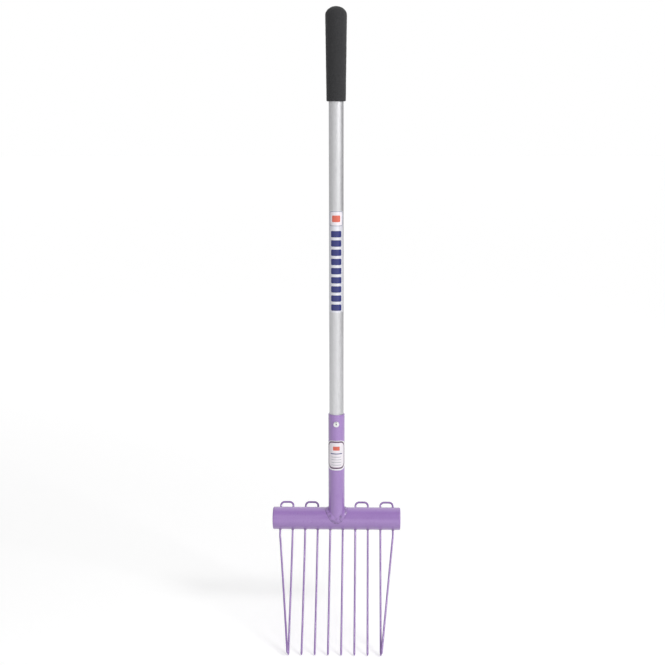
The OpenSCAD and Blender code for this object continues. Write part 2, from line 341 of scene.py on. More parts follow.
def stencil(tree, sheet, bar):
    # 1 inside a bar with round corners, 0 outside; every bar lies on the film's middle line
    corner = bar["corner"]
    inner = (bar["wide"] / 2 - corner, bar["high"] / 2 - corner, 0)
    shifted = addNode(tree, "ShaderNodeVectorMath", operation="SUBTRACT")
    folded = addNode(tree, "ShaderNodeVectorMath", operation="ABSOLUTE")
    beyond = addNode(tree, "ShaderNodeVectorMath", operation="SUBTRACT")
    kept = addNode(tree, "ShaderNodeVectorMath", operation="MAXIMUM")
    far = addNode(tree, "ShaderNodeVectorMath", operation="LENGTH")
    feed(tree, shifted, in0=sheet, in1=(0, bar["y"], 0))
    feed(tree, folded, in0=shifted.outputs[0])
    feed(tree, beyond, in0=folded.outputs[0], in1=inner)
    feed(tree, kept, in0=beyond.outputs[0], in1=(0, 0, 0))
    feed(tree, far, in0=kept.outputs[0])
    return math2(tree, "LESS_THAN", far.outputs["Value"], corner)


def printedFilm(name, ground, layers, metallic, roughness):
    # layers of plain ink, each a list of bars in one colour, laid one over the next
    material, tree, shader, place = newMaterial(name)
    sheet = addNode(tree, "ShaderNodeAttribute", attribute_name="sheet").outputs["Vector"]
    fibre = cloud(tree, place, filmFinish["fibrePerMetre"], 3)
    colour = blendColour(tree, spread(tree, fibre, 0, 1), *ground)
    ink = None
    for tone, bars in layers:
        for bar in bars:
            mask = stencil(tree, sheet, bar)
            colour = blendColour(tree, mask, colour, tone)
            ink = mask if ink is None else math2(tree, "MAXIMUM", ink, mask)
    uneven = filmFinish["unevenGloss"]
    feed(tree, shader, Base_Color=colour)
    feed(tree, shader, Roughness=spread(tree, fibre, roughness - uneven, roughness + uneven))
    if metallic:
        # the bare film shines, and the ink on it doesn't
        feed(tree, shader, Metallic=spread(tree, ink, metallic, 0, 0, 1))
    feed(tree, shader, Coat_Weight=filmFinish["coat"], Coat_Roughness=filmFinish["coatRoughness"])
    relief(tree, shader, [(fibre, filmFinish["fibreDepth"]), (ink, filmFinish["inkDepth"])])
    return material


# Places and radii read from the frame

origin = Vector((0, 0, 0))
shaftLow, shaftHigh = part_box("shaft")
gripLow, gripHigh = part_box("grip")
_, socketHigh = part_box("socket")
barLow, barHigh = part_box("crossbar")
rivetLow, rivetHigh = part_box("rivet_body")
barCentre = (barLow + barHigh) / 2
shaftRadius = reach("shaft", 0, 1, origin)
socketRadius = reach("socket", 0, 1, origin)
barRadius = reach("crossbar", 1, 2, barCentre)
alongX = Matrix.Rotation(math.radians(90), 4, "Y")
upright = Matrix.Identity(4)

paint = lilacPaint()

# Grip: a foam sleeve with a rolled lower edge, a slow swell and a domed end

grip = {
    "dome": 0.018,
    "domeSteps": 24,
    "edge": 0.0022,
    "edgeSteps": 8,
    "boreWall": 0.0048,
    "boreMargin": 0.001,
    "segments": 144,
    "rings": 90,
    "lumps": 0.00022,
    "lumpSink": 0.6,
    "lumpsPerMetre": 210,
    "swellsPerMetre": 55,
    "swellShare": 0.5,
}


def makeGrip():
    lowRadius = shaftRadius + grip["boreWall"]
    topRadius = reach("grip", 0, 1, origin)
    lipZ = gripLow.z + grip["edge"]
    domeZ = gripHigh.z - grip["dome"]
    boreTop = shaftHigh.z
    lip = arc(lowRadius - grip["edge"], lipZ, grip["edge"], -90, 0, grip["edgeSteps"])
    side = [(lowRadius + (topRadius - lowRadius) * t, lipZ + (domeZ - lipZ) * t)
            for t in [i / grip["rings"] for i in range(1, grip["rings"])]]
    dome = [(topRadius * x, domeZ + grip["dome"] * y) for x, y in arc(0, 0, 1, 0, 90, grip["domeSteps"])]
    bore = [(0, boreTop), (shaftRadius, boreTop), (shaftRadius, gripLow.z)]
    data = lathe("grip", lip + side + dome + bore, grip["segments"], upright)
    boreRadius, boreEnd = shaftRadius + grip["boreMargin"], boreTop + grip["boreMargin"]
    for vert in data.vertices:
        if math.hypot(vert.co.x, vert.co.y) > boreRadius or vert.co.z > boreEnd:
            lump = noise.noise(vert.co * grip["lumpsPerMetre"])
            lump += grip["swellShare"] * noise.noise(vert.co * grip["swellsPerMetre"])
            vert.co -= vert.normal * grip["lumps"] * (grip["lumpSink"] - lump)
    piece = finishPiece("foamGrip", data, gripFoam(), ["grip"])


makeGrip()

# Shaft: a drawn tube, chamfered at both ends

shaft = {"wall": 0.0016, "chamfer": 0.0005, "segments": 128}


def tubeProfile(outer, wall, low, high, chamfer):
    inner = outer - wall
    lowEdge = [(outer - chamfer, low), (outer, low + chamfer)]
    highEdge = [(outer, high - chamfer), (outer - chamfer, high)]
    return lowEdge + highEdge + [(inner, high), (inner, low)]


def makeShaft():
    profile = tubeProfile(shaftRadius, shaft["wall"], shaftLow.z, shaftHigh.z, shaft["chamfer"])
    data = lathe("shaft", profile, shaft["segments"], upright)
    finishPiece("shaftTube", data, shaftMetal(), ["shaft"], sharpDeg=30)


makeShaft()

# Socket: a tube coped over the crossbar, with a rolled rim

socket = {"wall": 0.0024, "rim": 0.0006, "rimSteps": 5, "segments": 160, "rows": 24}


def saddleTurn(angle, tubeRadius=socketRadius):
    # angle round the crossbar, from its top to the front, where the wall of an upright tube meets it
    sine = (barCentre.y + tubeRadius * math.cos(angle)) / barRadius
    return math.asin(max(-1.0, min(1.0, sine)))


def makeSocket():
    inner = socketRadius - socket["wall"]
    rimZ = socketHigh.z - socket["rim"]
    rim = arc(socketRadius - socket["rim"], rimZ, socket["rim"], 0, 90, socket["rimSteps"])
    rise = [row / socket["rows"] for row in range(socket["rows"])]
    sections = []
    for i in range(socket["segments"]):
        angle = math.tau * i / socket["segments"]
        outerZ = barCentre.z + barRadius * math.cos(saddleTurn(angle))
        innerZ = barCentre.z + barRadius * math.cos(saddleTurn(angle, inner))
        profile = [(socketRadius, outerZ + (rimZ - outerZ) * t) for t in rise] + rim
        profile += [(inner, socketHigh.z), (inner, innerZ)]
        sections.append([Vector((r * math.sin(angle), -r * math.cos(angle), z)) for r, z in profile])
    finishPiece("socketTube", loft("socket", sections), paint, ["socket"], sharpDeg=40)


makeSocket()

# Crossbar and its pressed end caps

bar = {"wall": 0.0015, "chamfer": 0.0002, "segments": 160}
cap = {
    "edge": 0.0025,
    "edgeSteps": 8,
    "land": 0.003,
    "dish": 0.0006,
    "dishMiddle": (0.5, 0.7),    # shares of the radius and of the dish's depth
    "wall": 0.0012,
    "spigot": 0.006,
}


def makeCrossbar():
    half = (barHigh.x - barLow.x) / 2
    profile = tubeProfile(barRadius, bar["wall"], -half, half, bar["chamfer"])
    data = lathe("crossbar", profile, bar["segments"], Matrix.Translation(barCentre) @ alongX)
    finishPiece("crossbarTube", data, paint, ["crossbar"], sharpDeg=30)


def makeBarEnd(name, node, side):
    low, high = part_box(node)
    seat = barHigh.x if side > 0 else -barLow.x
    face = high.x if side > 0 else -low.x
    edge = cap["edge"]
    outer = barRadius - bar["wall"]
    inner = outer - cap["wall"]
    spigotEnd = seat - cap["spigot"]
    across, deep = cap["dishMiddle"]
    profile = [(0, face - cap["dish"]), (barRadius * across, face - cap["dish"] * deep)]
    profile += [(barRadius - edge - cap["land"], face)]
    profile += reversed(arc(barRadius - edge, face - edge, edge, 0, 90, cap["edgeSteps"]))
    profile += [(barRadius, seat), (outer, seat), (outer, spigotEnd), (inner, spigotEnd)]
    profile += [(inner, seat), (0, seat)]
    turned = alongX if side > 0 else Matrix.Rotation(math.radians(-90), 4, "Y")
    place = Matrix.Translation((0, barCentre.y, barCentre.z)) @ turned
    data = lathe(name, profile, bar["segments"], place)
    finishPiece(name, data, paint, [node], sharpDeg=40)


makeCrossbar()
makeBarEnd("barEndLeft", "bar_end_left", -1)
makeBarEnd("barEndRight", "bar_end_right", 1)

# Socket weld: a rippled bead along the saddle between the socket and the crossbar

bead = {
    "leg": 0.009,
    "backLeg": 0.0045,
    "rise": 0.0055,
    "backRise": 0.0016,
    "riseFade": 1.5,
    "crown": 0.0013,
    "stations": 360,
    "faceSteps": 10,
    "footShares": (0.66, 0.33, 0),
    "ripplePitch": 0.0026,
    "ripple": 0.00026,
    "rippleLag": 0.5,
    "wander": 0.0009,
    "wanderScale": 3,
    "wanderSeed": 0.7,
    "lump": 0.0009,
    "lumpsPerMetre": 170,
    # painted shade along the bead's lower toe and foot, and random soot patches
    "shadeAndSoot": 0.35,
    "toeShadeFade": 4,
    "patchSoot": 1.1,
}


def setPaintedShadeAndSoot(data, values):
    # how far the paint is darkened at each point, from 0 to 1: painted shade, and soot patches on the weld
    layer = data.attributes.new("crease", "FLOAT", "POINT")
    layer.data.foreach_set("value", values)


def beadSection(angle, travelled):
    turn = saddleTurn(angle)
    sine, cosine = math.sin(angle), math.cos(angle)
    front = (1 + cosine) / 2
    away = Vector((sine / math.cos(turn), cosine)).normalized()
    spot = Vector((bead["wanderScale"] * sine, bead["wanderScale"] * cosine, bead["wanderSeed"]))
    leg = bead["backLeg"] + (bead["leg"] - bead["backLeg"]) * front
    leg += bead["wander"] * noise.noise(spot) * front
    wall = Vector((socketRadius * sine, -socketRadius * cosine, 0))
    saddleZ = barCentre.z + barRadius * math.cos(turn)

    def onBar(distance):
        bend = turn + distance * away.y / barRadius
        return Vector((wall.x + distance * away.x, barCentre.y - barRadius * math.sin(bend),
                       barCentre.z + barRadius * math.cos(bend)))

    steep = max(0.0, cosine) ** bead["riseFade"]
    rise = bead["backRise"] + (bead["rise"] - bead["backRise"]) * steep
    top = Vector((wall.x, wall.y, saddleZ + rise))
    toe = onBar(leg)
    outwards = Vector((sine, -cosine - math.sin(turn), math.cos(turn))).normalized()
    # the curve's control point stands twice as far out as its crown
    control = (top + toe) / 2 + 2 * bead["crown"] * outwards
    face = []
    for step in range(bead["faceSteps"] + 1):
        t = step / bead["faceSteps"]
        swell = math.sin(math.pi * t)
        # each ripple trails in the middle of the bead
        wave = math.cos(math.tau * (travelled / bead["ripplePitch"] - bead["rippleLag"] * swell))
        smooth = (1 - t) ** 2 * top + 2 * t * (1 - t) * control + t * t * toe
        lift = bead["ripple"] * wave + bead["lump"] * noise.noise(smooth * bead["lumpsPerMetre"])
        face.append(smooth + lift * swell * outwards)
    return face + [onBar(leg * share) for share in bead["footShares"]]


def makeSocketWeld():
    sections, travelled, before = [], 0.0, None
    for i in range(bead["stations"]):
        angle = math.tau * i / bead["stations"]
        here = Vector((socketRadius * math.sin(angle), barRadius * saddleTurn(angle)))
        travelled += (here - before).length if before else 0.0
        before = here
        sections.append(beadSection(angle, travelled))
    data = loft("socketBead", sections)
    shadeAndSoot = []
    for section in sections:
        for j, point in enumerate(section):
            # painted shade darkening towards the lower toe and over the foot, plus random soot patches
            toe = min(j / bead["faceSteps"], 1.0) ** bead["toeShadeFade"]
            patch = noise.noise(point * bead["lumpsPerMetre"])
            shadeAndSoot.append(min(1.0, bead["shadeAndSoot"] * toe + bead["patchSoot"] * max(0.0, -patch)))
    setPaintedShadeAndSoot(data, shadeAndSoot)
    finishPiece("socketBead", data, paint, ["socket_weld"], sharpDeg=60)


makeSocketWeld()

# Tines: five hairpins of round wire, swept along their own paths

wire = {
    "radius": 0.00225,
    "pitch": 0.0278,
    "slopeDeg": 35,
    "curveDeg": 10,
    "length": 0.277,
    "neck": 0.012,
    "tineSteps": 48,
    "tipLength": 0.004,
    "tipRadius": 0.0014,
    "tipRound": 0.0007,
    "tipShares": (0.3, 0.6, 0.8, 0.9, 0.95, 0.98, 1),
    "noseFull": 0.98,
    "noseOpen": 1.02,
    "loopRise": 0.014,
    "loopCorner": 0.0085,
    "loopSteps": 14,
    "outerTipGap": 0.0015,
    "outerTipLift": 0.007,
    "outerBend": 0.010,
    "sides": 20,
    # painted shade: how far every tine's paint is darkened
    "deepen": 0.2,
}
# pieces from left to right, with the node that each stands for
hairpins = {
    "hairpinLeftOuter": "hairpin_left_outer",
    "hairpinLeftInner": "hairpin_left_inner",
    "hairpinCentre": "hairpin_centre",
    "hairpinRightInner": "hairpin_right_inner",
    "hairpinRightOuter": "hairpin_right_outer",
}
outermost = len(hairpins) // 2


def tinePoints(outer):
    # from the end of the neck to the tip, starting straight down and curving to the front
    free = wire["length"] - wire["neck"]
    curved = free - wire["tipLength"]
    radius = curved / math.radians(wire["curveDeg"])
    lean = math.asin((wire["pitch"] - wire["outerTipGap"]) / free)
    lift = math.asin(wire["outerTipLift"] / free)
    axis = Vector((0, 0, -1)).cross(Vector((-lean, -lift, 0)))
    stations = [curved * i / wire["tineSteps"] for i in range(wire["tineSteps"] + 1)]
    stations += [curved + wire["tipLength"] * share for share in wire["tipShares"]]
    points = []
    for s in stations:
        turn = min(s, curved) / radius
        point = Vector((0, -radius * (1 - math.cos(turn)), -radius * math.sin(turn)))
        point += max(0.0, s - curved) * Vector((0, -math.sin(turn), -math.cos(turn)))
        bent = min(1.0, s / wire["outerBend"]) if outer else 0.0
        points.append(Matrix.Rotation(math.hypot(lean, lift) * bent, 3, axis) @ point)
    return points


def halfHairpin(outer):
    # from the middle of the loop to the right-hand tip, along the leg
    loopTop = barRadius + wire["loopRise"] - wire["radius"]
    corner = wire["loopCorner"]
    leg = wire["pitch"] / 2
    neckEnd = Vector((leg, 0, -barRadius - wire["neck"]))
    bend = arc(leg - corner, loopTop - corner, corner, 90, 0, wire["loopSteps"])
    straight = [Vector((leg, 0, z)) for z in (barRadius, 0, -barRadius)]
    return [Vector((x, 0, z)) for x, z in bend] + straight + [neckEnd + p for p in tinePoints(outer)]


def hairpinPath(index):
    right = halfHairpin(index == outermost)
    left = [Vector((-p.x, p.y, p.z)) for p in halfHairpin(index == -outermost)]
    place = Matrix.Translation((2 * index * wire["pitch"], barCentre.y, barCentre.z))
    place = place @ Matrix.Rotation(-math.radians(wire["slopeDeg"]), 4, "X")
    return [place @ p for p in list(reversed(left)) + right]


def newTree(name, inputs):
    tree = bpy.data.node_groups.new(name, "GeometryNodeTree")
    tree.interface.new_socket("Geometry", in_out="INPUT", socket_type="NodeSocketGeometry")
    tree.interface.new_socket("Geometry", in_out="OUTPUT", socket_type="NodeSocketGeometry")
    sockets = {}
    for label, kind in inputs.items():
        made = tree.interface.new_socket(label, in_out="INPUT", socket_type="NodeSocket" + kind)
        sockets[label] = made.identifier
    return tree, sockets, addNode(tree, "NodeGroupInput"), addNode(tree, "NodeGroupOutput")


def endTree(tree, geometry, finish, end):
    plain = feed(tree, addNode(tree, "GeometryNodeRealizeInstances"), Geometry=geometry)
    coated = addNode(tree, "GeometryNodeSetMaterial")
    feed(tree, coated, Geometry=plain.outputs[0], Material=finish)
    tree.links.new(coated.outputs[0], end.inputs[0])


def applyTree(name, data, tree, sockets, values):
    # runs a tree on a mesh and returns the plain result
    holder = bpy.data.objects.new(name, data)
    bpy.context.scene.collection.objects.link(holder)
    modifier = holder.modifiers.new(name, "NODES")
    modifier.node_group = tree
    for label, value in values.items():
        modifier[sockets[label]] = value
    depsgraph = bpy.context.evaluated_depsgraph_get()
    result = bpy.data.meshes.new_from_object(holder.evaluated_get(depsgraph))
    holder.modifiers.remove(modifier)
    bpy.data.objects.remove(holder)
    return result


def wireTree():
    # round wire along an edge path, with a ground tip at each end
    inputs = {"Wire radius": "Float", "Tip radius": "Float", "Tip length": "Float", "Tip round": "Float",
              "Sides": "Int", "Finish": "Material"}
    tree, sockets, start, end = newTree("tineWire", inputs)
    given = start.outputs
    path = feed(tree, addNode(tree, "GeometryNodeMeshToCurve"), Mesh=given["Geometry"])
    along = addNode(tree, "GeometryNodeSplineParameter").outputs["Length"]
    total = addNode(tree, "GeometryNodeSplineLength").outputs["Length"]
    toEnd = math2(tree, "MINIMUM", along, math2(tree, "SUBTRACT", total, along))
    taper = addNode(tree, "ShaderNodeMapRange")
    feed(tree, taper, Value=toEnd, From_Min=given["Tip round"], From_Max=given["Tip length"],
         To_Min=given["Tip radius"], To_Max=given["Wire radius"])
    # the nose is a quarter round that never closes quite to a point
    rounded = math2(tree, "DIVIDE", toEnd, given["Tip round"])
    inset = math2(tree, "SUBTRACT", 1.0, math2(tree, "MINIMUM", rounded, wire["noseFull"]))
    square = math2(tree, "MULTIPLY", inset, inset)
    fullness = math2(tree, "SQRT", math2(tree, "SUBTRACT", wire["noseOpen"], square))
    nose = math2(tree, "MINIMUM", fullness, 1.0)
    radius = math2(tree, "MULTIPLY", taper.outputs["Result"], nose)
    thick = addNode(tree, "GeometryNodeSetCurveRadius")
    feed(tree, thick, Curve=path.outputs[0], Radius=radius)
    profile = addNode(tree, "GeometryNodeCurvePrimitiveCircle")
    feed(tree, profile, Resolution=given["Sides"], Radius=1.0)
    sweep = addNode(tree, "GeometryNodeCurveToMesh")
    feed(tree, sweep, Curve=thick.outputs[0], Profile_Curve=profile.outputs["Curve"], Fill_Caps=True)
    feed(tree, sweep, Scale=addNode(tree, "GeometryNodeInputRadius").outputs[0])
    endTree(tree, sweep.outputs["Mesh"], given["Finish"], end)
    return tree, sockets


def makeTines():
    tree, sockets = wireTree()
    values = {"Wire radius": wire["radius"], "Tip radius": wire["tipRadius"],
              "Tip length": wire["tipLength"], "Tip round": wire["tipRound"],
              "Sides": wire["sides"], "Finish": paint}
    for index, (name, node) in enumerate(hairpins.items(), -outermost):
        points = hairpinPath(index)
        data = bpy.data.meshes.new(name + "Path")
        data.from_pydata(points, [(i, i + 1) for i in range(len(points) - 1)], [])
        mesh = applyTree(name + "Path", data, tree, sockets, values)
        # painted shade: the whole wire's paint darkened evenly
        setPaintedShadeAndSoot(mesh, [wire["deepen"]] * len(mesh.vertices))
        finishPiece(name, mesh, paint, [node], sharpDeg=50)


makeTines()

# Tine welds: one small uneven fillet round each tine, under the crossbar

tack = {
    "lowLeg": 0.0003,
    "highLeg": 0.0024,
    "rise": 0.0018,
    "sides": 28,
    "sideRings": 8,
    "fillRings": 2,
    "lumpsPerMetre": 420,
    "unevenness": 0.0004,
    "seed": 4,
    # painted shade: the collars round the tine exits are darkened
    "shadeAndSoot": 0.8,
}


def tackTree():
    # a lumpy cone on each point, spun at random about the tine
    inputs = {"Low radius": "Float", "High radius": "Float", "Height": "Float", "Lean": "Float",
              "Sides": "Int", "Unevenness": "Float", "Seed": "Int", "Finish": "Material"}
    tree, sockets, start, end = newTree("tineWelds", inputs)
    given = start.outputs
    cone = addNode(tree, "GeometryNodeMeshCone")
    feed(tree, cone, Vertices=given["Sides"], Depth=given["Height"])
    feed(tree, cone, Side_Segments=tack["sideRings"], Fill_Segments=tack["fillRings"])
    feed(tree, cone, Radius_Top=given["High radius"], Radius_Bottom=given["Low radius"])
    lumps = addNode(tree, "ShaderNodeTexNoise")
    feed(tree, lumps, Scale=tack["lumpsPerMetre"], Detail=1.0)
    centred = math2(tree, "SUBTRACT", lumps.outputs["Fac"], 0.5)
    swell = math2(tree, "MULTIPLY", centred, given["Unevenness"])
    push = addNode(tree, "ShaderNodeVectorMath", operation="SCALE")
    feed(tree, push, in0=addNode(tree, "GeometryNodeInputNormal").outputs[0], Scale=swell)
    uneven = addNode(tree, "GeometryNodeSetPosition")
    feed(tree, uneven, Geometry=cone.outputs["Mesh"], Offset=push.outputs[0])
    points = feed(tree, addNode(tree, "GeometryNodeMeshToPoints"), Mesh=given["Geometry"])
    lean = feed(tree, addNode(tree, "ShaderNodeCombineXYZ"), X=given["Lean"])
    placed = addNode(tree, "GeometryNodeInstanceOnPoints")
    feed(tree, placed, Points=points.outputs[0], Instance=uneven.outputs[0], Rotation=lean.outputs[0])
    spin = addNode(tree, "FunctionNodeRandomValue", data_type="FLOAT")
    feed(tree, spin, in2=0.0, in3=math.tau, Seed=given["Seed"])
    turn = feed(tree, addNode(tree, "ShaderNodeCombineXYZ"), Z=spin.outputs[1])
    turned = addNode(tree, "GeometryNodeRotateInstances")
    feed(tree, turned, Instances=placed.outputs[0], Rotation=turn.outputs[0], Local_Space=True)
    endTree(tree, turned.outputs[0], given["Finish"], end)
    return tree, sockets


def makeTineWelds():
    tree, sockets = tackTree()
    slope = math.radians(wire["slopeDeg"])
    down = Vector((0, -math.sin(slope), -math.cos(slope)))
    count = 2 * len(hairpins)
    across = [(i - (count - 1) / 2) * wire["pitch"] for i in range(count)]
    exits = [Vector((x, barCentre.y, barCentre.z)) + down * (barRadius + tack["rise"]) for x in across]
    data = bpy.data.meshes.new("tineExits")
    data.from_pydata(exits, [], [])
    values = {"Low radius": wire["radius"] + tack["lowLeg"], "High radius": wire["radius"] + tack["highLeg"],
              "Height": 2 * tack["rise"], "Lean": -slope, "Sides": tack["sides"],
              "Unevenness": tack["unevenness"], "Seed": tack["seed"], "Finish": paint}
    mesh = applyTree("tineExits", data, tree, sockets, values)
    # painted shade: every collar's paint darkened evenly
    setPaintedShadeAndSoot(mesh, [tack["shadeAndSoot"]] * len(mesh.vertices))
    finishPiece("tineWelds", mesh, paint, ["tine_welds"], sharpDeg=50)


makeTineWelds()

# Blind rivet: a flanged dome with the broken mandrel in its bore

rivet = {
    "headRadius": 0.00635,
    "flange": 0.0006,
    "dome": 0.0015,
    "domeSteps": 14,
    "edge": 0.0004,
    "edgeDeg": 60,
    "edgeSteps": 4,
    "sunk": 0.0011,
    "shankRadius": 0.0024,
    "bulbRadius": 0.0035,
    "bulb": 0.005,
    "bulbChamfer": 0.001,
    "boreRadius": 0.0014,
    "boreLip": 0.0003,
    "segments": 72,
}
mandrel = {
    "recess": 0.0009,
    "fit": 0.96,
    "tear": [(0, 0.0002), (0.45, 0.0001), (0.8, -0.0001), (1, -0.0004)],    # share of the radius, height
    "head": 0.002,
    "headShare": 1.6,
    "segments": 48,
}


def makeRivet():
    place = Matrix.Translation((0, 0, (rivetLow.z + rivetHigh.z) / 2))
    outwards = place @ Matrix.Rotation(math.radians(90), 4, "X")
    flangeTop = socketRadius + rivet["flange"]
    top = flangeTop + rivet["dome"]
    seat = socketRadius - rivet["sunk"]
    bulbTop = shaftRadius - shaft["wall"]
    bulbLow = bulbTop - rivet["bulb"]
    head, edge = rivet["headRadius"], rivet["edge"]
    shank, bulb, bore = rivet["shankRadius"], rivet["bulbRadius"], rivet["boreRadius"]

    ball = (head * head + rivet["dome"] ** 2) / (2 * rivet["dome"])
    lip = bore + rivet["boreLip"]
    domeRadii = [lip + (head - lip) * i / rivet["domeSteps"] for i in range(rivet["domeSteps"])]
    profile = [(r, top - ball + math.sqrt(ball * ball - r * r)) for r in domeRadii]
    boreTop = profile[0][1] - rivet["boreLip"]
    profile += arc(head - edge, flangeTop - edge, edge, rivet["edgeDeg"], 0, rivet["edgeSteps"])
    profile += [(head, seat), (shank, seat), (shank, bulbTop)]
    profile += [(bulb, bulbTop - rivet["bulbChamfer"]), (bulb, bulbLow + rivet["bulbChamfer"])]
    profile += [(shank, bulbLow), (bore, bulbLow), (bore, boreTop)]
    body = lathe("rivet", profile, rivet["segments"], outwards)
    bodyMetal = wornMetal("rivetMetal", rivetFinish)
    finishPiece("rivetBody", body, bodyMetal, ["rivet_body"], sharpDeg=40)

    stemTop = top - mandrel["recess"]
    stem = bore * mandrel["fit"]
    knob = stem * mandrel["headShare"]
    tail = bulbLow - mandrel["head"]
    profile = [(stem * share, stemTop + lift) for share, lift in mandrel["tear"]]
    profile += [(stem, bulbLow), (knob, bulbLow), (knob, tail), (0, tail)]
    torn = lathe("mandrel", profile, mandrel["segments"], outwards)
    tornSteel = wornMetal("mandrelSteel", mandrelFinish)
    finishPiece("rivetMandrel", torn, tornSteel, ["rivet_mandrel"], sharpDeg=30)


makeRivet()

# Label films: thin sheets wrapped on the tubes, with plain generic printing

socketFilm = {"wrapDeg": 186, "thick": 0.00025, "corner": 0.021, "columns": 96, "rows": 60}
shaftFilm = {"wrapDeg": 130, "thick": 0.00025, "corner": 0.004, "columns": 64, "rows": 120}


def makeFilm(name, node, film, tubeRadius, material):
    low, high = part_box(node)
    height = high.z - low.z
    radius = tubeRadius + film["thick"]
    half = math.radians(film["wrapDeg"]) / 2 * radius
    corner = film["corner"]

    def inset(y):
        gap = min(y, height - y)
        if gap >= corner:
            return 0.0
        return corner - math.sqrt(corner * corner - (corner - gap) ** 2)

    def curl(x, y, lift):
        angle = x / radius
        r = tubeRadius + lift
        return Vector((r * math.sin(angle), -r * math.cos(angle), low.z + y))

    sections = []
    for i in range(film["rows"] + 1):
        # rows crowd at both ends, round the corners
        y = height * (1 - math.cos(math.pi * i / film["rows"])) / 2
        reachX = half - inset(y)
        across = [reachX * (2 * j / film["columns"] - 1) for j in range(film["columns"] + 1)]
        outside = [curl(x, y, film["thick"]) for x in across]
        sections.append(outside + [curl(x, y, 0) for x in reversed(across)])
    data = loft(name, sections, ring=False)
    sheet = data.attributes.new("sheet", "FLOAT_VECTOR", "POINT")
    for i, vert in enumerate(data.vertices):
        angle = math.atan2(vert.co.x, -vert.co.y)
        sheet.data[i].vector = (angle * radius, vert.co.z - low.z, 0)
    finishPiece(name, data, material, [node], sharpDeg=30)


white = ((0.80, 0.79, 0.82, 1), (0.86, 0.85, 0.88, 1))
silver = ((0.72, 0.72, 0.78, 1), (0.80, 0.80, 0.86, 1))
plum = (0.080, 0.010, 0.080, 1)
coral = (0.72, 0.13, 0.08, 1)
navy = (0.014, 0.020, 0.165, 1)
greyInk = (0.42, 0.43, 0.47, 1)
slateInk = (0.24, 0.27, 0.36, 1)
paleGround = (0.86, 0.81, 0.86, 1)

# y is the middle of a bar above the film's lower edge
greyRows = {"top": 0.0300, "step": 0.0060, "count": 4}
navyRows = {"low": 0.0108, "step": 0.0196, "count": 9}
socketPrint = [
    (plum, [dict(y=0.0345, wide=0.0430, high=0.0622, corner=0.0125)]),
    (paleGround, [dict(y=0.0345, wide=0.0384, high=0.0558, corner=0.0100)]),
    (coral, [dict(y=0.0495, wide=0.0150, high=0.0090, corner=0.0010)]),
    (navy, [dict(y=0.0375, wide=0.0270, high=0.0020, corner=0.0004)]),
    (greyInk, [dict(y=greyRows["top"] - greyRows["step"] * i, wide=0.0230, high=0.0013, corner=0.0003)
               for i in range(greyRows["count"])]),
]
shaftPrint = [
    (slateInk, [dict(y=0.2000, wide=0.0310, high=0.0310, corner=0.0040)]),
    (paleGround, [dict(y=0.2000, wide=0.0284, high=0.0284, corner=0.0030)]),
    (coral, [dict(y=0.2000, wide=0.0180, high=0.0140, corner=0.0020)]),
    (navy, [dict(y=navyRows["low"] + navyRows["step"] * i, wide=0.0240, high=0.0136, corner=0.0025)
            for i in range(navyRows["count"])]),
]

socketInk = printedFilm("socketFilm", white, socketPrint, metallic=0, roughness=0.34)
shaftInk = printedFilm("shaftFilm", silver, shaftPrint, metallic=0.3, roughness=0.40)
makeFilm("socketLabel", "socket_label", socketFilm, socketRadius, socketInk)
makeFilm("shaftLabel", "shaft_label", shaftFilm, shaftRadius, shaftInk)

# Stage: a pale floor under the tips, white air behind, and a grey room that only the gloss shows

floor = {
    "size": 60.0,
    "gap": 0.001,
    "tones": ((0.79, 0.79, 0.79, 1), (0.81, 0.81, 0.81, 1)),
    "grainPerMetre": 40,
    "roughness": 0.9,
    "nearGlow": 0.38,
    "farGlow": 0.615,
    "glowRange": (1.1, 4.0),    # metres from the origin over which the glow rises
    "mirroredGlow": 0.35,
}
room = {
    "tones": {
        "band": 1.1,
        "front": 0.12,
        "strip": 1.6,
        "screen": 0.85,
        "left": 0.52,
        "right": 0.24,
        "top": 0.30,
    },
    "half": 2.6,
    "height": 3.2,
    "back": 4.5,
    "topBack": 0.3,
    "bandHeight": 0.68,
    "inFront": 0.99,    # share of the way to the front wall at which the strip and the screen hang
    "stripLeft": 0.7,
    "stripRight": 1.9,
    "screenRight": -0.15,
    "screenHeight": 0.85,
}
airFill = 0.42
lamps = {
    "key": {"turnDeg": 54, "riseDeg": 34, "distance": 2.6, "size": 0.8, "power": 30, "mirrored": True},
    "front": {"turnDeg": 14, "riseDeg": 22, "distance": 3.0, "size": 2.4, "power": 29, "mirrored": False},
    "back": {"turnDeg": 172, "riseDeg": 30, "distance": 3.0, "size": 2.4, "power": 16, "mirrored": False},
}
floorZ = cadBox[0].z - floor["gap"]


def plane(name, corners, material):
    data = bpy.data.meshes.new(name)
    data.from_pydata(corners, [], [(0, 1, 2, 3)])
    data.materials.append(material)
    made = bpy.data.objects.new(name, data)
    bpy.context.scene.collection.objects.link(made)
    return made


def flat(x0, y0, x1, y1, z):
    return [(x0, y0, z), (x1, y0, z), (x1, y1, z), (x0, y1, z)]


def wall(x0, y0, x1, y1, low, high):
    return [(x0, y0, low), (x1, y1, low), (x1, y1, high), (x0, y0, high)]


